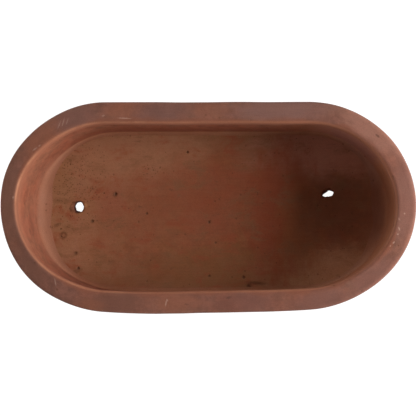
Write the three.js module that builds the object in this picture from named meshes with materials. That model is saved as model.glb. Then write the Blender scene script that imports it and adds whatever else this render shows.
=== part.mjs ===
// An oval, unglazed stoneware bonsai pot, slab built. Each mesh is one piece of clay as the potter
// cut it, before the joints were scored, wetted with slip, pressed together and fired.
// Millimetres, +Z up. The origin is on the shelf under the middle of the pot, +X runs along its
// length, and -Y is its front.
import * as THREE from "three";

// ---- Driving dimensions -------------------------------------------------------------------------

// The whole pot, over the rim and down to the soles of the feet.
const POT_LENGTH = 305;
const POT_WIDTH = 154;
const POT_HEIGHT = 76;

// The slabs of clay, and the film of slip left where two pieces meet end to end or in a corner.
const FLOOR_THICKNESS = 9;
const WALL_THICKNESS = 9;
const SLIP = 0.3;

// The rim: a flattened strip bedded on the walls, wider than them both outside and inside, and
// drawn thinner where it was bent round the two ends. Its top falls a little towards the outside.
const LIP_OVERHANG = 3;
const INNER_LEDGE = 4;
const RIM_DRAWN_THINNER_BY = 4.2;
const RIM_THICKNESS = 9;
const RIM_FALL = 1.2;
const RIM_OUTER_ROUND = 2.6;
const RIM_INNER_ROUND = 2.2;
const RIM_LOWER_ROUND = 1.2;

// The walls lean out from the floor to the rim, the two ends a little more than the two sides.
const SIDE_LEAN = 3.2;
const END_LEAN = 5.3;

// Each end wall runs on past its bend, so that no joint between two walls falls on a bend.
const END_WALL_RUN_ON = 12;

// The coil of clay pressed into the corner between the walls and the floor, with feathered edges.
const COIL_LEG = 7;
const COIL_FEATHER = 0.5;

// How far the coils' two joints lie from the rim's, which are in the middle of the back and front.
const COIL_JOINT_OFFSET = 30;

// Two drain holes poked through the floor: a round one on the left, a torn oval one on the right.
// Each is placed from the end of the pot that it is nearer to, and from the pot's long axis.
const LEFT_DRAIN = { fromEnd: 48.5, towardsBack: 4.2, length: 7.8, width: 7.8, turn: 0 };
const RIGHT_DRAIN = { fromEnd: 61, towardsBack: 13.9, length: 9.4, width: 6.6, turn: 18 };

// Four feet under the floor, where the straight sides run into the round ends.
const FOOT_HEIGHT = 8;
const FOOT_LENGTH = 46;
const FOOT_WIDTH = 16;
const FOOT_TAPER = 2;
const FOOT_INSET = 1.5;

// How finely the round shapes are divided.
const END_STEPS = 28;
const FOOT_STEPS = 5;
const ROUND_STEPS = 4;
const DRAIN_STEPS = 28;

// ---- Levels and insets that follow from them ----------------------------------------------------

const slabBottom = FOOT_HEIGHT;
const slabTop = slabBottom + FLOOR_THICKNESS;
const rimBottom = POT_HEIGHT - RIM_THICKNESS;
const endRadius = POT_WIDTH / 2;
const halfStraight = (POT_LENGTH - POT_WIDTH) / 2;
const rimWidth = LIP_OVERHANG + WALL_THICKNESS + INNER_LEDGE;
const rimEndRatio = 1 - RIM_DRAWN_THINNER_BY / rimWidth;

// How far down the wall a level is: 0 under the rim, 1 on the floor and below it.
function depthShare(z) {
  return THREE.MathUtils.clamp((rimBottom - z) / (rimBottom - slabTop), 0, 1);
}

// The walls' two faces at the sides, measured in from the rim's outer edge.
function wallOuterInset(z) {
  return LIP_OVERHANG + SIDE_LEAN * depthShare(z);
}

function wallInnerInset(z) {
  return wallOuterInset(z) + WALL_THICKNESS;
}

// What a piece is inset at the ends beyond its inset at the sides.
function bodyEndShift(_inset, z) {
  return LIP_OVERHANG * (rimEndRatio - 1) + (END_LEAN - SIDE_LEAN) * depthShare(z);
}

function rimEndShift(inset, _z) {
  return inset * (rimEndRatio - 1);
}

// ---- The oval that every piece follows ----------------------------------------------------------

// A place on the oval, counted in quarters anticlockwise from the middle of the back. 0 to 1 is the
// left half of the back, 1 to 3 the left end, 3 to 5 the front, 5 to 7 the right end, and 7 to 8 the
// right half of the back. Past 8 it starts again.
const [BACK_LEFT, FRONT_LEFT, FRONT_RIGHT, BACK_RIGHT] = [1, 3, 5, 7];
const ONCE_ROUND = 8;

function placeOnOval(place, inset, endShift) {
  const quarter = place % ONCE_ROUND;
  const straight = halfStraight - endShift;
  const radius = endRadius - inset;
  if (quarter <= BACK_LEFT) return [-quarter * straight, radius];
  if (quarter >= BACK_RIGHT) return [(ONCE_ROUND - quarter) * straight, radius];
  if (quarter > FRONT_LEFT && quarter < FRONT_RIGHT) return [(quarter - 4) * straight, -radius];
  const onLeft = quarter <= FRONT_LEFT;
  const angle = ((onLeft ? quarter : quarter - 2) * Math.PI) / 2;
  const centre = onLeft ? -straight : straight;
  return [centre + radius * Math.cos(angle), radius * Math.sin(angle)];
}

// A length along a straight side, or round an end at a given inset, as a share of a quarter.
function straightShare(length) {
  return length / halfStraight;
}

function roundShare(length, inset) {
  return length / ((endRadius - inset) * (Math.PI / 2));
}

// Places from one end of a piece to the other: every joint of straight and round, and fine steps
// in between wherever the oval is round.
function stationsBetween(from, to, endSteps = END_STEPS) {
  const joints = [from];
  for (let place = Math.floor(from) + 1; place < to; place += 1) joints.push(place);
  joints.push(to);
  const stations = [from];
  for (let i = 1; i < joints.length; i += 1) {
    const [start, end] = [joints[i - 1], joints[i]];
    const middle = ((start + end) / 2) % ONCE_ROUND;
    const isRound =
      (middle > BACK_LEFT && middle < FRONT_LEFT) || (middle > FRONT_RIGHT && middle < BACK_RIGHT);
    const steps = isRound ? Math.ceil((end - start) * (endSteps / 2)) : 1;
    for (let k = 1; k <= steps; k += 1) stations.push(start + ((end - start) * k) / steps);
  }
  return stations;
}

// Sweeps a section along the oval. The section's x is the inset at the sides and its y the height.
function sweepAlongOval(section, stations, endShift) {
  const geometry = new THREE.ExtrudeGeometry(section, {
    steps: stations.length - 1,
    depth: stations.length - 1,
    bevelEnabled: false,
    curveSegments: ROUND_STEPS,
  });
  const position = geometry.getAttribute("position");
  for (let i = 0; i < position.count; i += 1) {
    const inset = position.getX(i);
    const z = position.getY(i);
    const place = stations[Math.round(position.getZ(i))];
    const [x, y] = placeOnOval(place, inset, endShift(inset, z));
    position.setXYZ(i, x, y, z);
  }
  geometry.computeVertexNormals();
  return geometry;
}

// ---- The clay -----------------------------------------------------------------------------------

const CLAY_BODY = "#8a5540";
const CLAY_RIM = "#7d5547";
const CLAY_FLOOR = "#7e4a33";
const CLAY_FOOT = "#74493a";
const CLAY_COIL = "#865038";

const pot = new THREE.Group();

function addPiece(name, geometry, colour) {
  const clay = new THREE.MeshStandardMaterial({ color: colour, roughness: 0.85, metalness: 0 });
  const piece = new THREE.Mesh(geometry, clay);
  piece.name = name;
  pot.add(piece);
}

// ---- The floor: one flat slab, cut to the walls' outline, with the drain holes through it ------

function drainHole(side, { fromEnd, towardsBack, length, width, turn }) {
  const hole = new THREE.Path();
  const x = side * (POT_LENGTH / 2 - fromEnd);
  const angle = THREE.MathUtils.degToRad(turn);
  hole.absellipse(x, towardsBack, length / 2, width / 2, 0, 2 * Math.PI, true, angle);
  return hole;
}

function floorSlab() {
  const inset = wallOuterInset(slabTop);
  const outline = stationsBetween(0, ONCE_ROUND)
    .slice(0, -1)
    .map((place) => new THREE.Vector2(...placeOnOval(place, inset, bodyEndShift(inset, slabTop))));
  const plan = new THREE.Shape(outline);
  plan.holes.push(drainHole(-1, LEFT_DRAIN), drainHole(1, RIGHT_DRAIN));
  const slab = new THREE.ExtrudeGeometry(plan, {
    depth: FLOOR_THICKNESS,
    bevelEnabled: false,
    curveSegments: DRAIN_STEPS,
  });
  return slab.translate(0, 0, slabBottom);
}

addPiece("floor_slab", floorSlab(), CLAY_FLOOR);

// ---- The walls: two straight slabs and two bent round the ends, standing on the floor ----------

function wallSection() {
  return new THREE.Shape([
    new THREE.Vector2(wallOuterInset(slabTop), slabTop),
    new THREE.Vector2(wallInnerInset(slabTop), slabTop),
    new THREE.Vector2(wallInnerInset(rimBottom), rimBottom),
    new THREE.Vector2(wallOuterInset(rimBottom), rimBottom),
  ]);
}

const halfSlip = straightShare(SLIP / 2);
const runOn = straightShare(END_WALL_RUN_ON);

function addWall(name, from, to) {
  const stations = stationsBetween(from + halfSlip, to - halfSlip);
  addPiece(name, sweepAlongOval(wallSection(), stations, bodyEndShift), CLAY_BODY);
}

addWall("wall_left_end", BACK_LEFT - runOn, FRONT_LEFT + runOn);
addWall("wall_front", FRONT_LEFT + runOn, FRONT_RIGHT - runOn);
addWall("wall_right_end", FRONT_RIGHT - runOn, BACK_RIGHT + runOn);
addWall("wall_back", BACK_RIGHT + runOn, ONCE_ROUND + BACK_LEFT - runOn);

// ---- The rim: two strips bedded on the walls, meeting in the middle of the front and back ------

function rimSection() {
  const inner = rimWidth;
  const outerShoulder = POT_HEIGHT - RIM_FALL;
  const section = new THREE.Shape();
  section.moveTo(RIM_LOWER_ROUND, rimBottom);
  section.lineTo(inner - RIM_LOWER_ROUND, rimBottom);
  section.quadraticCurveTo(inner, rimBottom, inner, rimBottom + RIM_LOWER_ROUND);
  section.lineTo(inner, POT_HEIGHT - RIM_INNER_ROUND);
  section.quadraticCurveTo(inner, POT_HEIGHT, inner - RIM_INNER_ROUND, POT_HEIGHT);
  section.quadraticCurveTo(inner / 2, POT_HEIGHT, RIM_OUTER_ROUND, outerShoulder);
  section.quadraticCurveTo(0, outerShoulder, 0, outerShoulder - RIM_OUTER_ROUND);
  section.lineTo(0, rimBottom + RIM_LOWER_ROUND);
  section.quadraticCurveTo(0, rimBottom, RIM_LOWER_ROUND, rimBottom);
  return section;
}

function addHalf(name, from, section, endShift, colour) {
  const stations = stationsBetween(from + halfSlip, from + ONCE_ROUND / 2 - halfSlip);
  addPiece(name, sweepAlongOval(section, stations, endShift), colour);
}

addHalf("rim_left_half", 0, rimSection(), rimEndShift, CLAY_RIM);
addHalf("rim_right_half", ONCE_ROUND / 2, rimSection(), rimEndShift, CLAY_RIM);

// ---- The corner coils: pressed along the joint of walls and floor, smoothed to a hollow --------

function coilSection() {
  const bottom = slabTop + SLIP;
  const top = bottom + COIL_LEG;
  const againstWall = (z) => wallInnerInset(z) + SLIP;
  const toe = againstWall(bottom) + COIL_LEG;
  const section = new THREE.Shape();
  section.moveTo(againstWall(bottom), bottom);
  section.lineTo(toe, bottom);
  section.lineTo(toe, bottom + COIL_FEATHER);
  section.quadraticCurveTo(
    againstWall(bottom) + COIL_FEATHER,
    bottom + COIL_FEATHER,
    againstWall(top) + COIL_FEATHER,
    top,
  );
  section.lineTo(againstWall(top), top);
  section.lineTo(againstWall(bottom), bottom);
  return section;
}

const coilJoint = ONCE_ROUND - straightShare(COIL_JOINT_OFFSET);
const oppositeCoilJoint = coilJoint - ONCE_ROUND / 2;
addHalf("corner_coil_left_half", coilJoint, coilSection(), bodyEndShift, CLAY_COIL);
addHalf("corner_coil_right_half", oppositeCoilJoint, coilSection(), bodyEndShift, CLAY_COIL);

// ---- The feet: four short blocks under the floor that follow its edge --------------------------

function footSection() {
  const outer = wallOuterInset(slabBottom) + FOOT_INSET;
  const inner = outer + FOOT_WIDTH;
  return new THREE.Shape([
    new THREE.Vector2(outer + FOOT_TAPER, 0),
    new THREE.Vector2(inner - FOOT_TAPER, 0),
    new THREE.Vector2(inner, slabBottom),
    new THREE.Vector2(outer, slabBottom),
  ]);
}

function addFoot(name, bend, roundSide) {
  const middleInset = wallOuterInset(slabBottom) + FOOT_INSET + FOOT_WIDTH / 2;
  const along = straightShare(FOOT_LENGTH / 2);
  const around = roundShare(FOOT_LENGTH / 2, middleInset);
  const [from, to] = roundSide > 0 ? [bend - along, bend + around] : [bend - around, bend + along];
  const endSteps = (2 * FOOT_STEPS) / around;
  const stations = stationsBetween(from, to, endSteps);
  addPiece(name, sweepAlongOval(footSection(), stations, bodyEndShift), CLAY_FOOT);
}

addFoot("foot_back_left", BACK_LEFT, 1);
addFoot("foot_front_left", FRONT_LEFT, -1);
addFoot("foot_front_right", FRONT_RIGHT, 1);
addFoot("foot_back_right", BACK_RIGHT, -1);

export default pot;
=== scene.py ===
import math

import bmesh
import bpy
from mathutils import Matrix, Vector, noise


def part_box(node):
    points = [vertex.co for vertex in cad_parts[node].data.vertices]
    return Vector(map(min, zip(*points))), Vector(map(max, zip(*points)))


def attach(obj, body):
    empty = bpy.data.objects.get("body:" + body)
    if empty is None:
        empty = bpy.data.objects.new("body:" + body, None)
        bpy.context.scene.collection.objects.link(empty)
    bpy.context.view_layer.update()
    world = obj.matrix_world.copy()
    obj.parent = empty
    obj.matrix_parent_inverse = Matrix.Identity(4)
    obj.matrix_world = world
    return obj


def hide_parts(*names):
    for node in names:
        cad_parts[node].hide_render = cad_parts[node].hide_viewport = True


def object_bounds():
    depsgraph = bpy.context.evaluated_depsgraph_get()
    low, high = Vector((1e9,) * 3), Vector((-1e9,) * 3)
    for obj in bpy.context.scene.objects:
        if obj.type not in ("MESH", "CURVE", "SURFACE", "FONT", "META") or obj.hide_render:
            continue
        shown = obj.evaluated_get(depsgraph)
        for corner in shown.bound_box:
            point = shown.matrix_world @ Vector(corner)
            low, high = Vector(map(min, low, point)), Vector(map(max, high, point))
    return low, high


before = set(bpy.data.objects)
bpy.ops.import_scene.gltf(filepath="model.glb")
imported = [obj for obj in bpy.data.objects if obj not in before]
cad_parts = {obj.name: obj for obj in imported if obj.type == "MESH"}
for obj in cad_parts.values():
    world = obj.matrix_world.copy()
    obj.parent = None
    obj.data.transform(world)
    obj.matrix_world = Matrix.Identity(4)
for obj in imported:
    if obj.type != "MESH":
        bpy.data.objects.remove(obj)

# The solid model's box.
pot_low, pot_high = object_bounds()


# ---- The floor slab -----------------------------------------------------------------------------
# The bottom of the pot: coarse red stoneware clay, rolled out 9 mm thick, cut to the walls' outline
# and wiped lengthways with a wet rag. A stick poked the two drain holes through it, one of them
# cleanly and one with a torn flap of clay left in it. Stones dragged out of the clay left pits.

MM = 0.001
half_width = (pot_high.y - pot_low.y) / 2
half_straight = (pot_high.x - pot_low.x) / 2 - half_width

slab_low, slab_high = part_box("floor_slab")
wall_low, wall_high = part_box("wall_left_end")
rim_low, rim_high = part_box("rim_left_half")

side_overhang = rim_high.y - wall_high.y
end_overhang = wall_low.x - rim_low.x
side_lean = wall_high.y - slab_high.y
end_lean = slab_low.x - wall_low.x


def depth_share(z):
    """0 under the rim, and 1 on the floor and below it."""
    return min(max((wall_high.z - z) / (wall_high.z - wall_low.z), 0), 1)


def outer_face(z):
    """How far the walls' outer face lies in from the rim's outer edge, at the sides."""
    return side_overhang + side_lean * depth_share(z)


def smoothed(bm):
    """Shades a piece smoothly, except over its square corners and thin edges."""
    for face in bm.faces:
        face.smooth = True
    for edge in bm.edges:
        edge.smooth = len(edge.link_faces) == 2 and edge.calc_face_angle() < math.radians(50)


def swept_round(points, close, fineness):
    """A section of (inset, height) points, divided finely and carried once round the oval."""
    bm = bmesh.new()
    corners = [bm.verts.new((0, half_width - inset, z)) for inset, z in points]
    edges = [bm.edges.new(pair) for pair in zip(corners, corners[1:])]
    if close:
        edges.append(bm.edges.new((corners[-1], corners[0])))
    for edge in edges:
        cuts = int(edge.calc_length() / fineness)
        if cuts:
            bmesh.ops.subdivide_edges(bm, edges=[edge], cuts=cuts)
    straight_steps = int(half_straight / fineness)
    end_steps = int(math.pi * half_width / fineness)
    rail = bm.edges[:]
    for centre_x, turn, travel, steps in (
        (0, 0, -half_straight, straight_steps),
        (-half_straight, math.pi, 0, end_steps),
        (0, 0, 2 * half_straight, 2 * straight_steps),
        (half_straight, math.pi, 0, end_steps),
        (0, 0, -half_straight, straight_steps),
    ):
        swept = bmesh.ops.spin(
            bm, geom=rail, cent=(centre_x, 0, 0), axis=(0, 0, 1), dvec=(travel / steps, 0, 0),
            angle=turn, steps=steps, use_merge=False, use_duplicate=False,
        )
        rail = [part for part in swept["geom_last"] if isinstance(part, bmesh.types.BMEdge)]
    bmesh.ops.remove_doubles(bm, verts=bm.verts, dist=0.01 * MM)
    bmesh.ops.recalc_face_normals(bm, faces=bm.faces)
    smoothed(bm)
    return bm


# Where the potter's hands left the oval out of true: (place on the outline, reach, outward push).
OUT_OF_TRUE = (
    (Vector((108, -70)) * MM, 50 * MM, -3.4 * MM),
    (Vector((-106, -69)) * MM, 34 * MM, -1.9 * MM),
    (Vector((-35, -77)) * MM, 35 * MM, 0.9 * MM),
    (Vector((-146, 30)) * MM, 34 * MM, 1.3 * MM),
    (Vector((-80, 76)) * MM, 75 * MM, 1.7 * MM),
    (Vector((0, 77)) * MM, 50 * MM, 0.7 * MM),
    (Vector((100, 74)) * MM, 80 * MM, 1.0 * MM),
    (Vector((140, 44)) * MM, 30 * MM, 0.6 * MM),
    (Vector((152, 4)) * MM, 34 * MM, 1.0 * MM),
)


# The clay's uneven faces: how many swells or dents in a metre, and how high they are.
SWELLS_IN_A_METRE, SWELL_HEIGHT = 17, 0.5 * MM
DENTS_IN_A_METRE, DENT_DEPTH = 55, 0.16 * MM

# Without a seed, Blender's noise vectors follow the clock and no two runs give the same faces.
SURFACE_SEED = 1795060182
noise.seed_set(SURFACE_SEED)


def built_by_hand(bm, end_shift, pinch=(0, 0), wear_and_painted_light=None):
    """Leans the true oval in at its ends, pushes it out of true and gives it uneven faces.

    Pinch is how much narrower a strip is at its left and right ends. Each point is also marked
    with its inset, and with its wear and its painted light, for the clay to read."""
    inset_mark = bm.verts.layers.float.new("inset")
    wear_and_light_mark = bm.verts.layers.float.new("wear_and_painted_light")
    for vert in bm.verts:
        x, y, z = vert.co
        along = min(max(x, -half_straight), half_straight)
        reach = math.hypot(x - along, y)
        outward = Vector((x - along, y)) / reach if reach > 0.01 * MM else Vector((0, 0))
        on_outline = Vector((along, 0)) + outward * half_width
        inset = half_width - reach
        vert[inset_mark] = inset
        if wear_and_painted_light:
            vert[wear_and_light_mark] = wear_and_painted_light(inset, z, on_outline)
        push = sum(
            amount * math.exp(-(((on_outline - place).length / width) ** 2))
            for place, width, amount in OUT_OF_TRUE
        )
        pinch_here = pinch[0] if outward.x < 0 else pinch[1]
        reach += inset * pinch_here * outward.x**4 + push * reach / half_width
        vert.co.x = along * (1 - end_shift(z) / half_straight) + outward.x * reach
        vert.co.y = outward.y * reach
        swell = noise.noise_vector(vert.co * SWELLS_IN_A_METRE) * SWELL_HEIGHT
        dent = noise.noise_vector(vert.co * DENTS_IN_A_METRE + Vector((3, 1, 7))) * DENT_DEPTH
        vert.co += swell + dent


def body_end_shift(z):
    """How much further in the floor and the walls lie at the two ends than at the sides."""
    return end_overhang - side_overhang + (end_lean - side_lean) * depth_share(z)


def add(tree, kind, values=None, **settings):
    """A node with its settings, and with each named input given a value or a link."""
    new = tree.nodes.new("ShaderNode" + kind)
    for name, value in settings.items():
        setattr(new, name, value)
    for name, value in (values or {}).items():
        if isinstance(value, bpy.types.NodeSocket):
            tree.links.new(value, new.inputs[name])
        else:
            new.inputs[name].default_value = value
    return new


def combine(tree, operation, first, second):
    """One sum, such as ADD or MAXIMUM, on two shader values or numbers."""
    return add(tree, "Math", {0: first, 1: second}, operation=operation).outputs[0]


def both(tree, *shares):
    """Where all of the shares hold: their product."""
    product = shares[0]
    for share in shares[1:]:
        product = combine(tree, "MULTIPLY", product, share)
    return product


def stretch(tree, value, low, high, to_low=0, to_high=1):
    """Spreads what lies between low and high over a new range, easing in and out."""
    values = {"Value": value, "From Min": low, "From Max": high, "To Min": to_low, "To Max": to_high}
    return add(tree, "MapRange", values, interpolation_type="SMOOTHSTEP").outputs["Result"]


def blend(tree, share, first, second, how="MIX"):
    """A share of the second colour laid over the first."""
    values = {"Factor": share, 6: first, 7: second}
    return add(tree, "Mix", values, data_type="RGBA", blend_type=how).outputs[2]


def new_group(name, inputs, outputs):
    """An empty node group. Inputs are (name, socket kind, value), and outputs (name, kind)."""
    group = bpy.data.node_groups.new(name, "ShaderNodeTree")
    for socket_name, kind, value in inputs:
        socket = group.interface.new_socket(socket_name, in_out="INPUT", socket_type="NodeSocket" + kind)
        socket.default_value = value
    for socket_name, kind in outputs:
        group.interface.new_socket(socket_name, in_out="OUTPUT", socket_type="NodeSocket" + kind)
    return group, group.nodes.new("NodeGroupInput"), group.nodes.new("NodeGroupOutput")


def place_on_pot(tree, move=(0, 0, 0), scale=(1, 1, 1)):
    """Places in metres on the pot, moved and stretched to vary a pattern."""
    places = add(tree, "TexCoord").outputs["Object"]
    return add(tree, "Mapping", {"Vector": places, "Location": move, "Scale": scale}).outputs["Vector"]


def cloud(tree, vector, scale, detail=3, roughness=0.55, distortion=0):
    """Soft noise between 0 and 1. Scale is how many clouds there are in a metre."""
    values = {
        "Vector": vector, "Scale": scale, "Detail": detail, "Roughness": roughness,
        "Distortion": distortion,
    }
    return add(tree, "TexNoise", values).outputs["Fac"]


def fired_colour_group():
    """Clay that the kiln flashed redder in some places and more olive in others."""
    group, given, made = new_group(
        "fired colour",
        (
            ("Body", "Color", (0.25, 0.08, 0.04, 1)),
            ("Red", "Color", (0.25, 0.06, 0.03, 1)),
            ("Olive", "Color", (0.25, 0.1, 0.05, 1)),
            ("Red Share", "Float", 0.5),
            ("Olive Share", "Float", 0.5),
        ),
        (("Color", "Color"),),
    )
    red = stretch(group, cloud(group, place_on_pot(group), 24, 5, 0.6, 0.6), 0.42, 0.66)
    olive = stretch(group, cloud(group, place_on_pot(group, (7, 3, 1)), 33, 5, 0.62, 0.9), 0.44, 0.68)
    red = both(group, red, given.outputs["Red Share"])
    olive = both(group, olive, given.outputs["Olive Share"])
    colour = blend(group, red, given.outputs["Body"], given.outputs["Red"])
    colour = blend(group, olive, colour, given.outputs["Olive"])
    mottle = cloud(group, place_on_pot(group, (2, 9, 4)), 120, 5, 0.7)
    mottle = stretch(group, mottle, 0.28, 0.72, 0.78, 1.22)
    group.links.new(blend(group, 1, colour, mottle, "MULTIPLY"), made.inputs["Color"])
    return group


def chosen_cells(group, cells_in_a_metre, share, rim, middle):
    """Dots strewn over the clay: a share of the cells holds one, fading from its middle to its rim."""
    places = place_on_pot(group)
    cells = add(group, "TexVoronoi", {"Vector": places, "Scale": cells_in_a_metre, "Randomness": 1})
    lot = add(group, "SeparateColor", {"Color": cells.outputs["Color"]}).outputs["Red"]
    chosen = combine(group, "LESS_THAN", lot, share)
    return both(group, chosen, stretch(group, cells.outputs["Distance"], rim, middle))


def grain_group():
    """The tooth of fired clay: fine sand, and small open pores. Relief is 0 to 1, Pores a mask."""
    group, given, made = new_group(
        "grain",
        (("Pore Share", "Float", 0.1),),
        (("Relief", "Float"), ("Shade", "Float"), ("Pores", "Float")),
    )
    sand = cloud(group, place_on_pot(group), 1500, 3, 0.7)
    lumps = cloud(group, place_on_pot(group, (5, 5, 5)), 420, 3, 0.6)
    pores = chosen_cells(group, 300, given.outputs["Pore Share"], rim=0.34, middle=0.12)
    relief = combine(group, "ADD", both(group, sand, 0.5), both(group, lumps, 0.5))
    group.links.new(combine(group, "SUBTRACT", relief, pores), made.inputs["Relief"])
    group.links.new(stretch(group, sand, 0.3, 0.7, 0.9, 1.1), made.inputs["Shade"])
    group.links.new(pores, made.inputs["Pores"])
    return group


def speckle_group():
    """Crowds of tiny pinholes, as thick as Share."""
    group, given, made = new_group("speckle", (("Share", "Float", 0.1),), (("Mask", "Float"),))
    pinholes = chosen_cells(group, 760, given.outputs["Share"], rim=0.5, middle=0.2)
    group.links.new(pinholes, made.inputs["Mask"])
    return group


def wiping_group():
    """Fine lines that a wet rag or a finger left, spaced along the way that Across measures."""
    group, given, made = new_group(
        "wiping",
        (("Across", "Float", 0.0),),
        (("Relief", "Float"), ("Shade", "Float")),
    )
    along = add(group, "SeparateXYZ", {"Vector": place_on_pot(group, scale=(22, 22, 22))})
    across = both(group, given.outputs["Across"], 700)
    lines = add(group, "CombineXYZ", {"X": along.outputs["X"], "Y": along.outputs["Y"], "Z": across})
    relief = cloud(group, lines.outputs["Vector"], 1, 3, 0.6)
    group.links.new(relief, made.inputs["Relief"])
    group.links.new(stretch(group, relief, 0.3, 0.7, 0.97, 1.03), made.inputs["Shade"])
    return group


def patch_group():
    """One ragged oval patch on the pot: 1 inside, and fading out over its soft edge."""
    group, given, made = new_group(
        "patch",
        (
            ("Centre", "Vector", (0, 0, 0)),
            ("Reach", "Vector", (1, 1, 1)),
            ("Turn", "Float", 0.0),
            ("Softness", "Float", 0.5),
            ("Raggedness", "Float", 0.3),
        ),
        (("Mask", "Float"),),
    )
    away = add(
        group, "VectorMath", {0: place_on_pot(group), 1: given.outputs["Centre"]}, operation="SUBTRACT"
    ).outputs["Vector"]
    turned = add(
        group, "VectorRotate", {"Vector": away, "Angle": given.outputs["Turn"]}, rotation_type="Z_AXIS"
    ).outputs["Vector"]
    spread = add(
        group, "VectorMath", {0: turned, 1: given.outputs["Reach"]}, operation="DIVIDE"
    ).outputs["Vector"]
    distance = add(group, "VectorMath", {0: spread}, operation="LENGTH").outputs["Value"]
    ragged = combine(group, "SUBTRACT", cloud(group, spread, 2.3, 4, 0.7), 0.5)
    ragged = both(group, ragged, given.outputs["Raggedness"], 4)
    distance = combine(group, "ADD", distance, ragged)
    inner = combine(group, "SUBTRACT", 1, given.outputs["Softness"])
    outer = combine(group, "ADD", 1, given.outputs["Softness"])
    values = {"Value": distance, "From Min": inner, "From Max": outer, "To Min": 1, "To Max": 0}
    mask = add(group, "MapRange", values, interpolation_type="SMOOTHSTEP").outputs["Result"]
    group.links.new(mask, made.inputs["Mask"])
    return group


FIRED_COLOUR = fired_colour_group()
GRAIN = grain_group()
WIPING = wiping_group()
PATCH = patch_group()
SPECKLE = speckle_group()


GRAIN_DEPTH = 0.16 * MM
# Pits take this colour, and so does the painted shade down the drain holes.
PIT_COLOUR = (0.11, 0.04, 0.016)


class Clay:
    """A material of fired clay, whose colour a section can stain before it is finished.

    It was wiped round the pot, or if lengthways, straight along it."""

    def __init__(self, name, body, red, olive, red_share, olive_share, pore_share, lengthways=False):
        self.material = bpy.data.materials.new(name)
        self.material.use_nodes = True
        self.tree = self.material.node_tree
        self.shader = self.tree.nodes["Principled BSDF"]
        values = {
            "Body": (*body, 1), "Red": (*red, 1), "Olive": (*olive, 1), "Red Share": red_share,
            "Olive Share": olive_share,
        }
        self.colour = self.placed(FIRED_COLOUR, values).outputs["Color"]
        self.grain = self.placed(GRAIN, {"Pore Share": pore_share})
        across = self.axis("Y") if lengthways else self.along_section()
        self.wiping = self.placed(WIPING, {"Across": across})

    def placed(self, group, values):
        """One of the shader groups, with each named input given a value or a link."""
        node = self.tree.nodes.new("ShaderNodeGroup")
        node.node_tree = group
        for name, value in values.items():
            if isinstance(value, bpy.types.NodeSocket):
                self.tree.links.new(value, node.inputs[name])
            else:
                node.inputs[name].default_value = value
        return node

    def mark(self, name):
        """What the mesh says of each point: its inset, its wear and painted light, or how pitted it is,
        with the painted shade down the drain holes.
        """
        return add(self.tree, "Attribute", attribute_name=name).outputs["Fac"]

    def axis(self, letter):
        """Metres along X, Y or Z."""
        places = add(self.tree, "TexCoord").outputs["Object"]
        return add(self.tree, "SeparateXYZ", {"Vector": places}).outputs[letter]

    def along_section(self):
        """Roughly the way across a wall or the rim, from its outer face over to its inner one."""
        return combine(self.tree, "ADD", self.mark("inset"), self.axis("Z"))

    def both(self, *shares):
        return both(self.tree, *shares)

    def ramp(self, value, low, high, to_low=0, to_high=1):
        return stretch(self.tree, value, low, high, to_low, to_high)

    def stain(self, share, colour):
        self.colour = blend(self.tree, share, self.colour, (*colour, 1))

    def patch(
        self, x, y, length, width, colour, strength=1.0, turn=0, softness=0.5, ragged=0.3, z=0, depth=1000
    ):
        """Stains one oval patch. Places and sizes are in millimetres, the turn in degrees.

        It goes right down through the clay, unless it is given a height and a small depth."""
        values = {
            "Centre": (x * MM, y * MM, z * MM), "Reach": (length / 2 * MM, width / 2 * MM, depth * MM),
            "Turn": -math.radians(turn), "Softness": softness, "Raggedness": ragged,
        }
        self.stain(self.both(self.placed(PATCH, values).outputs["Mask"], strength), colour)

    def finish(self, wiping_depth=0.05 * MM):
        """Darkens the pores and pits, paints the shade down the drain holes, and gives the clay its dull
        face, wipe marks and grain.
        """
        tree = self.tree
        shaded = blend(tree, 1, self.colour, self.grain.outputs["Shade"], "MULTIPLY")
        shaded = blend(tree, 1, shaded, self.wiping.outputs["Shade"], "MULTIPLY")
        pores = self.both(self.grain.outputs["Pores"], 0.45)
        pitted = combine(tree, "MAXIMUM", pores, self.mark("pit"))
        shaded = blend(tree, pitted, shaded, (*PIT_COLOUR, 1))
        tree.links.new(shaded, self.shader.inputs["Base Color"])
        dullness = self.ramp(cloud(tree, place_on_pot(tree, (4, 2, 6)), 60), 0.3, 0.7, 0.72, 0.95)
        tree.links.new(dullness, self.shader.inputs["Roughness"])
        self.shader.inputs["Specular IOR Level"].default_value = 0.3
        lines = add(
            tree, "Bump",
            {"Height": self.wiping.outputs["Relief"], "Distance": wiping_depth, "Strength": 1},
        )
        sand = add(
            tree, "Bump",
            {
                "Height": self.grain.outputs["Relief"], "Distance": GRAIN_DEPTH, "Strength": 1,
                "Normal": lines.outputs["Normal"],
            },
        )
        tree.links.new(sand.outputs["Normal"], self.shader.inputs["Normal"])
        return self.material


def strayed(clay, distance):
    """The inset, wavering by up to a distance, so that an edge between two colours strays."""
    waver = clay.ramp(cloud(clay.tree, place_on_pot(clay.tree, (1, 6, 2)), 28, 4), 0.2, 0.8, -1, 1)
    return combine(clay.tree, "ADD", clay.mark("inset"), clay.both(waver, distance))


def fired(bm, node, clay):
    """Makes a shaped piece of clay an object, which stands for the solid of the same name."""
    mesh = bpy.data.meshes.new(node + "_clay")
    bm.to_mesh(mesh)
    bm.free()
    mesh.materials.append(clay)
    piece = bpy.data.objects.new(node + "_clay", mesh)
    bpy.context.collection.objects.link(piece)
    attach(piece, "root")
    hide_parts(node)
    return piece


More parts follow.
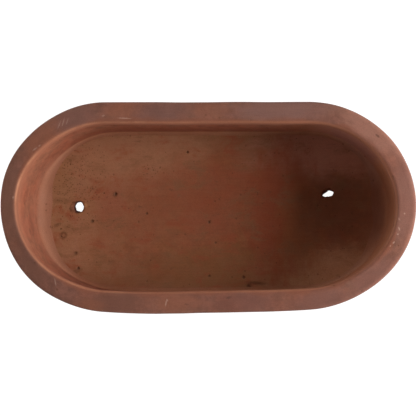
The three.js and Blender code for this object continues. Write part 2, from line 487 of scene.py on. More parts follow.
# The pits in the floor: place and radius in millimetres. Their depth is a share of the radius, and
# the clay is divided more finely as far as a margin round them.
PIT_DEPTH_SHARE = 0.55
PIT_MARGIN = 1.6 * MM
PITS = (
    (-117.6, -19, 0.7), (-106, -32, 1.0), (-104, -44, 1.3), (-93, -7, 1.3), (-75, 14, 1.5),
    (-50, -1, 1.1), (-18, 47, 1.3), (-1, -8, 1.4), (4, -24, 1.1), (-1, -50, 1.1),
    (26, -51, 1.5), (30, -58, 1.5), (-121, 36, 0.8), (-111, 38, 0.7), (-49, 34, 0.8),
    (-45, 33, 0.7), (-84, 15, 0.8), (-97, -1, 0.6), (-118, -13, 0.8), (-47, -38, 0.7),
)


def pitted(bm, pits, top):
    """Divides the clay round each pit more finely, sinks the pit and marks it dark."""
    pit_mark = bm.verts.layers.float.new("pit")
    for x, y, radius in pits:
        place = Vector((x, y)) * MM
        size = radius * MM
        near = [
            face for face in bm.faces
            if face.normal.z > 0.5 and (face.calc_center_median().xy - place).length < size + PIT_MARGIN
        ]
        edges = list({edge for face in near for edge in face.edges})
        bmesh.ops.subdivide_edges(bm, edges=edges, cuts=3, use_grid_fill=True)
    for vert in bm.verts:
        if vert.co.z < top - 2 * MM:
            continue
        for x, y, radius in pits:
            wobble = noise.noise(vert.co * 900) * 0.35
            away = (vert.co.xy - Vector((x, y)) * MM).length / (radius * MM) + wobble
            if away < 1:
                bowl = 1 - away**2
                vert[pit_mark] = max(vert[pit_mark], min(0.85, bowl * 1.2))
                vert.co.z -= bowl**2 * PIT_DEPTH_SHARE * radius * MM


slab_inset = outer_face(slab_high.z)
SLAB_ROUND = 0.5 * MM
floor_bm = swept_round(
    (
        (half_width, slab_low.z),
        (slab_inset + SLAB_ROUND, slab_low.z),
        (slab_inset, slab_low.z + SLAB_ROUND),
        (slab_inset, slab_high.z - SLAB_ROUND),
        (slab_inset + SLAB_ROUND, slab_high.z),
        (half_width, slab_high.z),
    ),
    close=False,
    fineness=1.7 * MM,
)
built_by_hand(floor_bm, body_end_shift)
floor_bm.normal_update()
pitted(floor_bm, PITS, slab_high.z)
smoothed(floor_bm)

floor_clay = Clay(
    "floor clay", body=(0.265, 0.082, 0.035), red=(0.265, 0.068, 0.027), olive=(0.25, 0.097, 0.035),
    red_share=0.75, olive_share=0.5, pore_share=0.035, lengthways=True,
)
within_walls = floor_clay.ramp(floor_clay.mark("inset"), slab_inset + 3 * MM, slab_inset + 4 * MM)
upper_side = floor_clay.ramp(floor_clay.axis("Z"), slab_high.z - 3 * MM, slab_high.z - 2 * MM)
near_edge = floor_clay.ramp(strayed(floor_clay, 18 * MM), 46 * MM, 22 * MM, 0, 0.8)
outside_colour = blend(floor_clay.tree, 0.7, floor_clay.colour, (0.244, 0.08, 0.045, 1))
floor_clay.stain(near_edge, (0.30, 0.122, 0.056))
# Redder and more olive patches: place, length, width, colour, strength.
for x, y, length, width, colour, strength in (
    (-112, 6, 86, 120, (0.375, 0.165, 0.08), 0.85),
    (-124, 4, 40, 110, (0.4, 0.175, 0.1), 0.6),
    (-62, 48, 110, 50, (0.39, 0.167, 0.086), 0.75),
    (-40, 2, 110, 60, (0.325, 0.112, 0.052), 0.6),
    (92, 46, 100, 40, (0.46, 0.19, 0.122), 0.8),
    (96, -50, 90, 40, (0.45, 0.215, 0.11), 0.85),
    (6, -44, 96, 34, (0.25, 0.098, 0.036), 0.7),
    (12, 14, 92, 60, (0.3, 0.075, 0.032), 0.55),
    (56, 0, 44, 96, (0.28, 0.058, 0.021), 0.75),
    (72, -12, 34, 70, (0.3, 0.11, 0.042), 0.65),
    (100, 3, 50, 50, (0.205, 0.074, 0.034), 0.7),
    (-119, 14, 22, 88, (0.33, 0.16, 0.064), 0.5),
    (-78, 2, 20, 34, (0.33, 0.1, 0.05), 0.6),
):
    floor_clay.patch(x, y, length, width, colour, strength, softness=0.6, ragged=0.45)
# Clouding: red and olive flecks, the red ones fewer at the right, and thin dark streaks.
flecks = cloud(floor_clay.tree, place_on_pot(floor_clay.tree, (3, 3, 3), (42, 70, 42)), 1, 6, 0.68, 0.4)
not_right = floor_clay.ramp(floor_clay.axis("X"), 76 * MM, 40 * MM, 0.15, 1)
red_flecks = floor_clay.both(floor_clay.ramp(flecks, 0.5, 0.68, 0, 0.75), not_right)
floor_clay.stain(red_flecks, (0.31, 0.075, 0.032))
floor_clay.stain(floor_clay.ramp(flecks, 0.48, 0.32, 0, 0.6), (0.225, 0.1, 0.045))
streaks = cloud(floor_clay.tree, place_on_pot(floor_clay.tree, (9, 2, 5), (60, 150, 60)), 1, 6, 0.7)
floor_clay.stain(floor_clay.ramp(streaks, 0.4, 0.3, 0, 0.4), (0.12, 0.05, 0.024))
# Round the left drain hole: bared orange clay, painted shade round its mouth and two light chips.
floor_clay.patch(-104, 4, 15, 14, (0.36, 0.135, 0.06), 0.8, softness=0.3, ragged=0.5)
floor_clay.patch(-104.5, 4.1, 11, 10.4, (0.13, 0.042, 0.016), 0.75, softness=0.14, ragged=0.3)
floor_clay.patch(-98.6, 5.5, 2.6, 3.4, (0.5, 0.25, 0.11), 0.7, ragged=0.6)
floor_clay.patch(-103, -0.6, 4, 1.8, (0.5, 0.25, 0.11), 0.6, ragged=0.6)
# Dark halos round the largest pits: place, breadth, strength. The first has a light middle.
for x, y, breadth, strength in (
    (-116, -18, 5.4, 0.8),
    (-75, 14, 4.4, 0.55),
    (30, -58, 5, 0.55),
    (-106, -32, 3.4, 0.55),
    (-93, -7, 3, 0.55),
):
    floor_clay.patch(x, y, breadth, breadth, (0.13, 0.045, 0.018), strength, softness=0.6, ragged=0.5)
floor_clay.patch(-116, -18, 2.6, 2.6, (0.32, 0.13, 0.06), 0.8, softness=0.4)
# Painted shade at the left hole's left and back edge, then smears: place, length, width, turn, colour,
# strength, soft, ragged.
for x, y, length, width, turn, colour, strength, softness, ragged in (
    (-109.6, 2.4, 3.4, 4.6, 20, (0.12, 0.038, 0.014), 0.7, 0.4, 0.6),
    (-108.4, 7.2, 2.4, 2.6, 0, (0.14, 0.045, 0.016), 0.6, 0.4, 0.6),
    (36, -55.5, 13, 2.2, -6, (0.1, 0.035, 0.014), 0.6, 0.6, 0.8),
    (-121, -10, 6, 2.4, 30, (0.14, 0.055, 0.024), 0.5, 0.6, 0.8),
    (-105, -46, 9, 3, 20, (0.17, 0.068, 0.03), 0.5, 0.6, 0.8),
):
    floor_clay.patch(x, y, length, width, colour, strength, turn, softness, ragged)
# Two crowds of pinholes, and a few everywhere: place and reach.
PINHOLES_EVERYWHERE = 0.012
crowds = [
    floor_clay.placed(
        PATCH, {"Centre": (x * MM, y * MM, 0), "Reach": (along * MM, across * MM, 1), "Softness": 0.7}
    ).outputs["Mask"]
    for x, y, along, across in ((-112, 26, 22, 34), (-47, 34, 9, 6))
]
crowded = floor_clay.both(combine(floor_clay.tree, "MAXIMUM", *crowds), 0.4)
pinhole_share = combine(floor_clay.tree, "ADD", crowded, PINHOLES_EVERYWHERE)
speckle = floor_clay.placed(SPECKLE, {"Share": pinhole_share}).outputs["Mask"]
floor_clay.stain(floor_clay.both(speckle, 0.6), (0.1, 0.038, 0.016))
floor_share = floor_clay.both(upper_side, within_walls)
floor_clay.colour = blend(floor_clay.tree, floor_share, outside_colour, floor_clay.colour)
floor_slab = fired(floor_bm, "floor_slab", floor_clay.finish())


def poked(piece, name, middle, mouth, throat, lean):
    """Pokes a drain hole down through the floor, and paints shade down its bore. Mouth and throat give a
    radius for an angle.
    """
    flare = 1.1 * MM
    ragged_by = 0.6 * MM
    unshaded_top, bore_shade_depth = 0.15 * MM, 0.9 * MM
    top, bottom = slab_high.z, slab_low.z
    profile = [(0, bottom - 2 * MM), (1, bottom - 2 * MM)]
    profile += [(1, bottom + (top - flare - bottom) * share / 5) for share in range(6)]
    profile += [
        (1 + flare / (4 * MM) * (1 - math.cos(turn)), top - flare + flare * math.sin(turn))
        for turn in (math.radians(step * 15) for step in range(1, 6))
    ]
    profile += [(profile[-1][0] + 0.3, top + 1.5 * MM), (0, top + 1.5 * MM)]
    bm = bmesh.new()
    points = [bm.verts.new((share, 0, z)) for share, z in profile]
    edges = [bm.edges.new(pair) for pair in zip(points, points[1:])]
    bmesh.ops.spin(
        bm, geom=points + edges, cent=(0, 0, 0), axis=(0, 0, 1), angle=2 * math.pi, steps=64,
        use_merge=True, use_duplicate=False,
    )
    bmesh.ops.remove_doubles(bm, verts=bm.verts, dist=0.01 * MM)
    for vert in bm.verts:
        height = min(max((vert.co.z - bottom) / (top - bottom), 0), 1)
        angle = math.atan2(vert.co.y, vert.co.x)
        radius = throat(angle) * (1 - height) + mouth(angle) * height
        round_the_hole = Vector((math.cos(angle), math.sin(angle), vert.co.z * 120))
        radius += noise.noise(round_the_hole * 2.3) * ragged_by
        vert.co.xy = vert.co.xy * radius + middle + lean * (1 - height)
    # Painted shade: the bore darkens below its mouth, marked as a pit.
    bore_shade = bm.verts.layers.float.new("pit")
    for vert in bm.verts:
        vert[bore_shade] = min(max((top - unshaded_top - vert.co.z) / bore_shade_depth, 0), 0.95)
    for face in bm.faces:
        face.smooth = True
    bmesh.ops.recalc_face_normals(bm, faces=bm.faces)
    mesh = bpy.data.meshes.new(name)
    bm.to_mesh(mesh)
    bm.free()
    stick = bpy.data.objects.new(name, mesh)
    bpy.context.collection.objects.link(stick)
    poke = piece.modifiers.new(name, "BOOLEAN")
    poke.operation = "DIFFERENCE"
    poke.solver = "EXACT"
    poke.object = stick
    mesh.materials.append(piece.data.materials[0])
    poked_piece = piece.evaluated_get(bpy.context.evaluated_depsgraph_get())
    holed = bpy.data.meshes.new_from_object(poked_piece)
    piece.modifiers.clear()
    piece.data = holed
    bpy.data.objects.remove(stick)


def oval(length, width, turn):
    """The radius of an oval at an angle, from its length, its width and how far it is turned."""
    def radius(angle):
        across = math.cos(angle - turn) / (length / 2)
        up = math.sin(angle - turn) / (width / 2)
        return 1 / math.hypot(across, up)
    return radius


def torn(angle):
    """A half moon: the oval hole, with a straight flap below it and a second one up on its left."""
    radius = oval(8.7 * MM, 5.2 * MM, math.radians(12))(angle)
    for facing, distance in ((-88, 1.7 * MM), (128, 1.9 * MM)):
        towards = math.cos(angle - math.radians(facing))
        if towards > 0.05:
            radius = min(radius, distance / towards)
    return radius


poked(
    floor_slab, "left_stick", Vector((-104.6, 4.0)) * MM, mouth=oval(9.4 * MM, 8.8 * MM, 0.6),
    throat=oval(8.0 * MM, 7.4 * MM, 2.3), lean=Vector((0.5, 0.9)) * MM,
)
poked(
    floor_slab, "right_stick", Vector((91.6, 14.0)) * MM, mouth=oval(8.9 * MM, 5.8 * MM, math.radians(15)),
    throat=torn, lean=Vector((0, 0)),
)


# ---- The walls ----------------------------------------------------------------------------------
# Four slabs of the same clay stand on the floor's edge and lean out a little: one bent round each
# end, and a straight one in front and behind. Their joints were scored, wetted with slip, pressed
# together and smoothed over with a finger, so hardly a line is left of them.

wall_front_low, wall_front_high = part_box("wall_front")
wall_thickness = wall_front_high.y - wall_front_low.y - side_lean
wall_joint = wall_front_high.x

walls = swept_round(
    (
        (outer_face(wall_low.z), wall_low.z),
        (outer_face(wall_low.z) + wall_thickness, wall_low.z),
        (outer_face(wall_high.z) + wall_thickness, wall_high.z),
        (outer_face(wall_high.z), wall_high.z),
    ),
    close=True,
    fineness=2 * MM,
)

# The slip and clay smoothed up under the rim make the wall thicker there, but less so at its ends.
SMOOTHED_UP = 3.7 * MM
SMOOTHED_DEPTH = 15 * MM
LESS_AT_LEFT_END, LESS_AT_RIGHT_END = 0.95, 0.4
for vert in walls.verts:
    x, y, z = vert.co
    along = min(max(x, -half_straight), half_straight)
    outward = Vector((x - along, y)).normalized()
    if half_width - math.hypot(x - along, y) > outer_face(z) + wall_thickness / 2:
        share = max(0, 1 - (wall_high.z - z) / SMOOTHED_DEPTH) ** 2
        less_at_end = LESS_AT_LEFT_END if outward.x < 0 else LESS_AT_RIGHT_END
        vert.co.xy -= outward * share * SMOOTHED_UP * (1 - less_at_end * outward.x**4)


def length_of(ring, joints, wanted):
    """One length of a ring of clay, cut square at each joint (side of the pot, x) and capped."""
    bm = ring.copy()
    for side, x in joints:
        near = [face for face in bm.faces if face.calc_center_median().y * side > 0]
        parts = near + list({edge for face in near for edge in face.edges})
        parts += list({vert for face in near for vert in face.verts})
        bmesh.ops.bisect_plane(bm, geom=parts, dist=0.001 * MM, plane_co=(x, 0, 0), plane_no=(1, 0, 0))
    rest = [face for face in bm.faces if not wanted(face.calc_center_median())]
    bmesh.ops.delete(bm, geom=rest, context="FACES")
    ends = [edge for edge in bm.edges if edge.is_boundary]
    for edge in ends:
        edge.smooth = False
    bmesh.ops.holes_fill(bm, edges=ends)
    return bm


def wall_top_painted_light(inset, z, on_outline):
    """Painted light: inside the pot, the walls are lighter just under the rim."""
    inside = inset > outer_face(z) + wall_thickness / 2
    return max(0, 1 - (wall_high.z - z) / (16 * MM)) if inside else 0


wall_clay = Clay(
    "wall clay", body=(0.25, 0.078, 0.041), red=(0.262, 0.074, 0.034), olive=(0.235, 0.094, 0.05),
    red_share=0.6, olive_share=0.6, pore_share=0.06,
)
# Painted light: a lighter olive on the right end's inner wall and coil, where light from the left falls.
LIGHTER_OLIVE_PAINTED_LIGHT = (0.42, 0.165, 0.082)
inside = wall_clay.ramp(wall_clay.mark("inset"), 8 * MM, 10 * MM)
# Painted shade: the back wall's inner face darker towards the floor.
behind = wall_clay.ramp(wall_clay.axis("Y"), 50 * MM, 62 * MM)
painted_shade_low = wall_clay.ramp(wall_clay.axis("Z"), 44 * MM, 22 * MM, 0, 0.75)
wall_clay.stain(wall_clay.both(painted_shade_low, behind, inside), (0.235, 0.064, 0.027))
# Painted light: the inner wall lighter towards the rim.
wall_clay.stain(wall_clay.both(wall_clay.mark("wear_and_painted_light"), 0.7), (0.35, 0.13, 0.07))
# Painted light inside the right end.
painted_light_at_right = wall_clay.ramp(wall_clay.axis("X"), 40 * MM, 120 * MM, 0, 0.95)
wall_clay.stain(wall_clay.both(painted_light_at_right, inside), LIGHTER_OLIVE_PAINTED_LIGHT)
wall_clay.patch(116, 56, 60, 40, (0.3, 0.12, 0.095), 0.7)
low_down = wall_clay.ramp(wall_clay.axis("Z"), 34 * MM, 20 * MM, 0, 0.6)
at_left = wall_clay.ramp(wall_clay.axis("X"), -105 * MM, -130 * MM)
wall_clay.stain(wall_clay.both(low_down, at_left, inside), (0.33, 0.13, 0.075))
wall_material = wall_clay.finish(wiping_depth=0.025 * MM)

WALL_JOINTS = ((1, wall_joint), (1, -wall_joint), (-1, wall_joint), (-1, -wall_joint))
for node, wanted in (
    ("wall_left_end", lambda place: place.x < -wall_joint),
    ("wall_right_end", lambda place: place.x > wall_joint),
    ("wall_front", lambda place: abs(place.x) < wall_joint and place.y < 0),
    ("wall_back", lambda place: abs(place.x) < wall_joint and place.y > 0),
):
    wall = length_of(walls, WALL_JOINTS, wanted)
    built_by_hand(wall, body_end_shift, wear_and_painted_light=wall_top_painted_light)
    fired(wall, node, wall_material)
walls.free()


# ---- The corner coils ---------------------------------------------------------------------------
# A thin coil of clay pressed into the corner between the walls and the floor, in two lengths, and
# drawn into a hollow with a finger. It is thin along the sides, where it is hardly to be seen, and
# broad round the two ends. Its toe is left as a light ridge on the floor.

coil_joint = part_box("corner_coil_left_half")[1].x
coil_foot = outer_face(wall_low.z) + wall_thickness
LEG_AT_SIDES = 2.8 * MM
LEG_AT_ENDS = 11 * MM
HEIGHT_SHARE = 0.64
RIDGE_HEIGHT, RIDGE_WIDTH = 0.1 * MM, 0.9 * MM
HOLLOW_STEPS = 7

hollow = []
for step in range(HOLLOW_STEPS + 1):
    turn = step / HOLLOW_STEPS * math.pi / 2
    hollow.append((1 - math.sin(turn), 1 - math.cos(turn)))
coil = swept_round(
    [(coil_foot, wall_low.z)] + [(coil_foot + out * MM, wall_low.z + up * MM) for out, up in hollow],
    close=True,
    fineness=1.4 * MM,
)


def drawn_out(bm):
    """Widens a coil made one millimetre broad to what it is at each place round the pot."""
    for vert in bm.verts:
        x, y, z = vert.co
        along = min(max(x, -half_straight), half_straight)
        reach = math.hypot(x - along, y)
        outward = Vector((x - along, y)) / reach
        inset = half_width - reach
        leg = LEG_AT_SIDES + (LEG_AT_ENDS - LEG_AT_SIDES) * abs(outward.x) ** 5
        leg *= 1 + 0.14 * noise.noise(Vector((x, y, 0)) * 45)
        out = (inset - coil_foot) / MM * leg
        up = (z - wall_low.z) / MM * leg * HEIGHT_SHARE
        toe = min(max(1 - out / leg, 0) * 6, 1)
        ridge = RIDGE_HEIGHT * toe * math.exp(-(((out - leg * 0.86) / RIDGE_WIDTH) ** 2))
        against_wall = (outer_face(wall_low.z + up) - outer_face(wall_low.z)) * max(0, 1 - out / leg)
        reach = half_width - coil_foot - out - against_wall
        vert.co = Vector((along + outward.x * reach, outward.y * reach, wall_low.z + up + ridge))


coil_clay = Clay(
    "coil clay", body=(0.255, 0.083, 0.042), red=(0.26, 0.078, 0.036), olive=(0.25, 0.1, 0.052),
    red_share=0.4, olive_share=0.6, pore_share=0.05,
)
low_down = coil_clay.ramp(coil_clay.axis("Z"), wall_low.z + 6 * MM, wall_low.z + MM)
# Painted light: the coil a lighter olive inside the right end, as on the wall.
coil_clay.stain(coil_clay.ramp(coil_clay.axis("X"), 40 * MM, 120 * MM, 0, 0.95), LIGHTER_OLIVE_PAINTED_LIGHT)
colour_at_wall = coil_clay.colour
coil_clay.stain(0.7, (0.32, 0.125, 0.062))
coil_clay.patch(-135, 0, 70, 130, (0.38, 0.168, 0.098), 0.9, ragged=0.15)
coil_clay.patch(132, 0, 60, 110, (0.36, 0.15, 0.082), 0.7, ragged=0.15)
coil_clay.patch(134, 4, 70, 50, (0.23, 0.08, 0.04), 0.85, ragged=0.15)
coil_clay.patch(124, 48, 50, 44, (0.34, 0.15, 0.1), 0.6, ragged=0.15)
# Painted light: lighter at the front of the right end, where fill light falls.
coil_clay.patch(112, -50, 84, 34, (0.4, 0.185, 0.105), 0.8)
coil_clay.colour = blend(coil_clay.tree, low_down, colour_at_wall, coil_clay.colour)
coil_material = coil_clay.finish()

for node, side in (("corner_coil_left_half", -1), ("corner_coil_right_half", 1)):
    half = length_of(
        coil,
        ((1, coil_joint), (-1, -coil_joint)),
        lambda place: (place.x - math.copysign(coil_joint, place.y)) * side > 0,
    )
    drawn_out(half)
    built_by_hand(half, body_end_shift)
    fired(half, node, coil_material)
coil.free()


# ---- The rim ------------------------------------------------------------------------------------
# Two flattened strips of clay bedded on the walls, wider than them outside and in. A wet leather
# drawn round the top rounded its edges and left it falling a little outwards. The kiln gave it a
# mauve bloom, and use has rubbed its inner edge back to the orange clay, with a painted highlight
# along that edge as well, strongest at the left end.

RIM_WIDTH = 16 * MM
# The share by which it was drawn thinner round the left end and round the right end.
RIM_PINCH = (0.24, 0.1)
RIM_FALL = 1.2 * MM
rim = swept_round(
    (
        (1.4 * MM, rim_low.z),
        (RIM_WIDTH - 0.2 * MM, rim_low.z),
        (RIM_WIDTH, rim_low.z + 0.4 * MM),
        (RIM_WIDTH, rim_high.z - 2.6 * MM),
        (RIM_WIDTH - 0.25 * MM, rim_high.z - 1.5 * MM),
        (RIM_WIDTH - 0.85 * MM, rim_high.z - 0.7 * MM),
        (RIM_WIDTH - 1.7 * MM, rim_high.z - 0.2 * MM),
        (RIM_WIDTH - 2.8 * MM, rim_high.z),
        (2.6 * MM, rim_high.z - RIM_FALL),
        (0.75 * MM, rim_high.z - RIM_FALL - 0.75 * MM),
        (0, rim_high.z - RIM_FALL - 2.6 * MM),
        (0, rim_low.z + 1.4 * MM),
    ),
    close=True,
    fineness=1.3 * MM,
)


# Where the rim was handled most, and where its inner edge has a painted highlight, strongest at
# the left end: (place on the outline, reach, how much), and how much elsewhere.
WEAR_AND_HIGHLIGHT_EVERYWHERE = 0.07
WEAR_AND_HIGHLIGHT = (
    (Vector((-150, 24)) * MM, 30 * MM, 1.1),
    (Vector((-124, -54)) * MM, 26 * MM, 0.9),
    (Vector((-100, 73)) * MM, 22 * MM, 0.5),
    (Vector((-46, 77)) * MM, 26 * MM, 0.5),
    (Vector((-50, -77)) * MM, 40 * MM, 0.4),
    (Vector((40, -77)) * MM, 26 * MM, 0.3),
    (Vector((150, -24)) * MM, 26 * MM, 0.4),
)


def rim_wear_and_highlight(inset, z, on_outline):
    """The rim's inner edge is rubbed most, with a painted highlight along it, and its outer edge a little.
    """
    inner = math.hypot(inset - RIM_WIDTH + 0.5 * MM, z - rim_high.z + 0.9 * MM)
    outer = math.hypot(inset, z - rim_high.z + RIM_FALL)
    wear_and_highlight_here = WEAR_AND_HIGHLIGHT_EVERYWHERE
    for place, reach, amount in WEAR_AND_HIGHLIGHT:
        wear_and_highlight_here += amount * math.exp(-(((on_outline - place).length / reach) ** 2))
    at_inner_edge = math.exp(-((inner / MM) ** 2))
    at_outer_edge = 0.3 * math.exp(-((outer / (1.6 * MM)) ** 2))
    return wear_and_highlight_here * (at_inner_edge + at_outer_edge)


rim_clay = Clay(
    "rim clay", body=(0.2, 0.077, 0.051), red=(0.225, 0.076, 0.043), olive=(0.178, 0.08, 0.05),
    red_share=0.7, olive_share=0.6, pore_share=0.05,
)
bare_share = rim_clay.ramp(strayed(rim_clay, 3 * MM), 11 * MM, 14 * MM, 0, 0.8)
rim_clay.stain(bare_share, (0.215, 0.069, 0.037))
# Where the bloom is thickest, and where it is thin: place, length, width, turn, colour, strength.
MAUVE = (0.188, 0.078, 0.056)
THIN = (0.245, 0.083, 0.044)
for x, y, length, width, turn, colour, strength in (
    (-66, -70, 44, 16, 0, (0.167, 0.063, 0.039), 0.9),
    (-86, -72, 20, 10, 0, THIN, 0.6),
    (-128, -34, 22, 46, 25, (0.155, 0.061, 0.038), 0.7),
    (-146, 6, 18, 50, 0, (0.186, 0.075, 0.046), 0.8),
    (-120, 52, 40, 18, 42, THIN, 0.8),
    (-98, 66, 30, 16, 25, MAUVE, 0.7),
    (-62, 72, 26, 16, 0, THIN, 0.6),
    (-30, 72, 40, 14, 0, (0.165, 0.073, 0.055), 0.7),
    (4, 72, 30, 14, 0, THIN, 0.5),
    (56, 72, 70, 14, 0, (0.205, 0.095, 0.073), 0.9),
    (124, 56, 60, 18, -40, (0.29, 0.125, 0.086), 0.8),
    (146, 6, 16, 60, 0, (0.215, 0.09, 0.064), 0.8),
    (124, -52, 44, 18, 38, MAUVE, 0.7),
    (84, -68, 40, 14, 10, MAUVE, 0.7),
    (26, -70, 44, 14, 0, (0.172, 0.063, 0.043), 0.7),
    (-22, -70, 34, 14, 0, THIN, 0.7),
):
    rim_clay.patch(x, y, length, width, colour, strength, turn)
from_inside = (RIM_WIDTH - 2.2 * MM, RIM_WIDTH - 0.6 * MM)
inner_face = rim_clay.ramp(rim_clay.mark("inset"), *from_inside, 0, 0.85)
rim_clay.stain(inner_face, (0.295, 0.107, 0.056))
uneven = cloud(rim_clay.tree, place_on_pot(rim_clay.tree, (8, 8, 3)), 75, 5)
# Rubbed bare clay along the rim's edges, with a painted highlight on the inner edge at the left end.
wear_and_highlight_share = rim_clay.both(rim_clay.ramp(uneven, 0.38, 0.6, 0.1, 1), rim_clay.mark("wear_and_painted_light"))
rim_clay.stain(wear_and_highlight_share, (0.4, 0.17, 0.09))
# Pale scuffs and dark nicks: place, length, width, turn, colour, strength.
SCUFF = (0.46, 0.29, 0.22)
NICK = (0.07, 0.028, 0.016)
for x, y, length, width, turn, colour, strength in (
    (-60, 66.4, 9, 0.9, -3, SCUFF, 0.4),
    (-36, 61.8, 19, 1.0, -2, SCUFF, 0.45),
    (-109, 62, 6, 0.8, 70, SCUFF, 0.25),
    (-106, 64, 6, 0.8, 75, SCUFF, 0.3),
    (-103, 64.5, 5, 0.7, 72, SCUFF, 0.25),
    (-76, 68.5, 2.4, 1.2, 20, SCUFF, 0.3),
    (-127, 44, 4, 0.9, 35, SCUFF, 0.4),
    (-123.5, 46.5, 1.8, 1, 35, SCUFF, 0.4),
    (-143, 8, 1.8, 1.4, 60, SCUFF, 0.4),
    (-111, -55, 0.9, 5, 10, SCUFF, 0.4),
    (-29, -70, 0.9, 4.6, -12, SCUFF, 0.45),
    (-28, -68, 1, 1.6, 30, SCUFF, 0.4),
    (141, -16, 1, 2.4, 20, SCUFF, 0.55),
    (140, -20, 1.2, 1, 0, SCUFF, 0.5),
    (137, -26, 1.8, 1, 50, SCUFF, 0.55),
    (134.5, -28.5, 1, 1, 0, SCUFF, 0.4),
    (145, -5, 1.2, 1, 0, SCUFF, 0.55),
    (141, -9, 0.9, 1.8, 20, SCUFF, 0.4),
    (126, 52, 1.6, 3.4, 50, NICK, 0.6),
    (17, -66, 4, 1.6, 10, NICK, 0.4),
    (-14, -71, 3.4, 1.2, 0, NICK, 0.4),
    (-84, -76, 2, 1.6, 0, NICK, 0.5),
):
    rim_clay.patch(
        x, y, length, width, colour, strength, turn, softness=0.4, ragged=0.9, z=rim_high.z / MM, depth=4,
    )
rim_material = rim_clay.finish()

for node, side in (("rim_left_half", -1), ("rim_right_half", 1)):
    half = length_of(rim, ((1, 0), (-1, 0)), lambda place: place.x * side > 0)
    built_by_hand(half, lambda z: 0, pinch=RIM_PINCH, wear_and_painted_light=rim_wear_and_highlight)
    fired(half, node, rim_material)
rim.free()


# ---- The feet -----------------------------------------------------------------------------------
# Four short lengths of clay under the floor, where the sides run into the ends. They are tapered,
# rounded with a wet finger, and rubbed flat on a board so that the pot stands without rocking.

foot_low, foot_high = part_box("foot_back_right")
FOOT_INSET = 1.5 * MM
FOOT_WIDTH = 16 * MM
FOOT_TAPER = 2 * MM
FOOT_ROUND = 1.6 * MM
foot_outer = outer_face(slab_low.z) + FOOT_INSET
foot_inner = foot_outer + FOOT_WIDTH
feet = swept_round(
    (
        (foot_outer + FOOT_TAPER + FOOT_ROUND, 0),
        (foot_inner - FOOT_TAPER - FOOT_ROUND, 0),
        (foot_inner - FOOT_TAPER - FOOT_ROUND * 0.25, FOOT_ROUND * 0.3),
        (foot_inner - FOOT_TAPER + FOOT_ROUND * 0.25, FOOT_ROUND * 1.2),
        (foot_inner, foot_high.z),
        (foot_outer, foot_high.z),
        (foot_outer + FOOT_TAPER - FOOT_ROUND * 0.25, FOOT_ROUND * 1.2),
        (foot_outer + FOOT_TAPER + FOOT_ROUND * 0.25, FOOT_ROUND * 0.3),
    ),
    close=True,
    fineness=1.4 * MM,
)
foot_clay = Clay(
    "foot clay", body=(0.23, 0.08, 0.045), red=(0.25, 0.078, 0.04), olive=(0.2, 0.085, 0.05),
    red_share=0.5, olive_share=0.6, pore_share=0.08,
)
rubbed_flat = foot_clay.ramp(foot_clay.axis("Z"), 1.2 * MM, 0.2 * MM, 0, 0.6)
foot_clay.stain(rubbed_flat, (0.34, 0.16, 0.095))
foot_material = foot_clay.finish()

foot_start = foot_low.x
foot_turn = math.asin((foot_high.x - half_straight) / (half_width - foot_outer))
for node, left_right, front_back in (
    ("foot_back_left", -1, 1),
    ("foot_front_left", -1, -1),
    ("foot_front_right", 1, -1),
    ("foot_back_right", 1, 1),
):
    bm = feet.copy()
    cut_line = Vector((math.cos(foot_turn) * left_right, -math.sin(foot_turn) * front_back, 0))
    for place, facing in (
        (Vector((foot_start * left_right, 0, 0)), Vector((-left_right, 0, 0))),
        (Vector((half_straight * left_right, 0, 0)), cut_line),
        (Vector((0, 0, 0)), Vector((0, -front_back, 0))),
    ):
        everything = bm.verts[:] + bm.edges[:] + bm.faces[:]
        bmesh.ops.bisect_plane(
            bm, geom=everything, dist=0.001 * MM, plane_co=place, plane_no=facing, clear_outer=True,
        )
    ends = [edge for edge in bm.edges if edge.is_boundary]
    for edge in ends:
        edge.smooth = False
    bmesh.ops.holes_fill(bm, edges=ends)
    corners = [edge for edge in ends if min(vert.co.z for vert in edge.verts) < foot_high.z - 0.1 * MM]
    bmesh.ops.bevel(
        bm, geom=corners, offset=0.9 * MM, offset_type="OFFSET", segments=2, profile=0.5,
        affect="EDGES", material=-1, clamp_overlap=True,
    )
    built_by_hand(bm, body_end_shift)
    for vert in bm.verts:
        vert.co.z = max(vert.co.z, 0.02 * MM)
    fired(bm, node, foot_material)
feet.free()


# ---- The studio ---------------------------------------------------------------------------------
# A pale floor that glows a little, so that it stays even, a low soft window light on the right, and
# weak soft light from behind, the left, the front and above. The camera looks almost straight down.

camera = bpy.data.objects.new("camera", bpy.data.cameras.new("camera"))
bpy.context.collection.objects.link(camera)
camera.location = (0.061, -0.053, 0.976)
aim = Vector((0.00189, -0.0004, pot_high.z))
sight = (aim - camera.location).normalized()
rightwards = sight.cross((0, 1, 0)).normalized()
camera.rotation_euler = Matrix((rightwards, rightwards.cross(sight), -sight)).transposed().to_euler()
# The breadth in metres that the camera takes in at the rim's height.
FIELD_AT_RIM = 0.3054
camera.data.angle = 2 * math.atan(FIELD_AT_RIM / 2 / (aim - camera.location).length)
bpy.context.scene.camera = camera

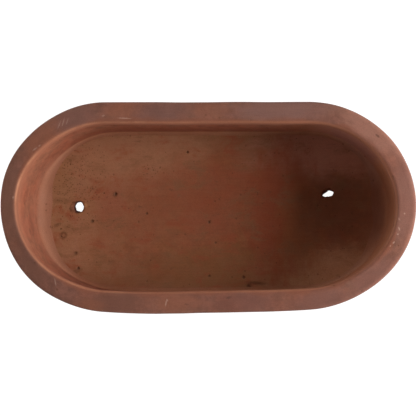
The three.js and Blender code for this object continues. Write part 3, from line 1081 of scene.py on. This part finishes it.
bpy.ops.mesh.primitive_plane_add(size=6)
ground = bpy.context.object
ground.name = "ground"
paint = bpy.data.materials.new("ground paint")
paint.use_nodes = True
painted = paint.node_tree.nodes["Principled BSDF"]
painted.inputs["Base Color"].default_value = (0.1, 0.1, 0.1, 1)
painted.inputs["Emission Color"].default_value = (1, 1, 1, 1)
seen = add(paint.node_tree, "LightPath").outputs["Is Camera Ray"]
glow = add(paint.node_tree, "MapRange", {"Value": seen, "To Min": 0.3, "To Max": 1})
paint.node_tree.links.new(glow.outputs["Result"], painted.inputs["Emission Strength"])
ground.data.materials.append(paint)

# Lights: azimuth from the right-hand end towards the back, elevation, width, height, watts.
LAMP_DISTANCE = 1.2
for name, azimuth, elevation, width, height, watts in (
    ("window", -3, 21, 0.65, 0.8, 25.5),
    ("back_left", 135, 16, 0.7, 0.6, 6),
    ("left", 180, 14, 0.7, 0.5, 2.2),
    ("front", -97, 24, 0.7, 0.6, 5.4),
    ("back", 85, 30, 0.7, 0.6, 1.6),
    ("above", 140, 60, 0.7, 0.7, 1.5),
):
    lamp = bpy.data.objects.new(name, bpy.data.lights.new(name, "AREA"))
    bpy.context.collection.objects.link(lamp)
    up, about = math.radians(elevation), math.radians(azimuth)
    towards = Vector((math.cos(up) * math.cos(about), math.cos(up) * math.sin(about), math.sin(up)))
    lamp.location = towards * LAMP_DISTANCE
    lamp.rotation_euler = towards.to_track_quat("Z", "Y").to_euler()
    lamp.data.shape = "RECTANGLE"
    lamp.data.size = width
    lamp.data.size_y = height
    lamp.data.energy = watts

world = bpy.data.worlds.new("world")
bpy.context.scene.world = world
world.use_nodes = True
backdrop = world.node_tree.nodes["Background"]
backdrop.inputs["Color"].default_value = (1, 1, 1, 1)
seen = add(world.node_tree, "LightPath").outputs["Is Camera Ray"]
glow = add(world.node_tree, "MapRange", {"Value": seen, "To Min": 0.01, "To Max": 0.9})
world.node_tree.links.new(glow.outputs["Result"], backdrop.inputs["Strength"])
bpy.context.scene.view_settings.view_transform = "Standard"
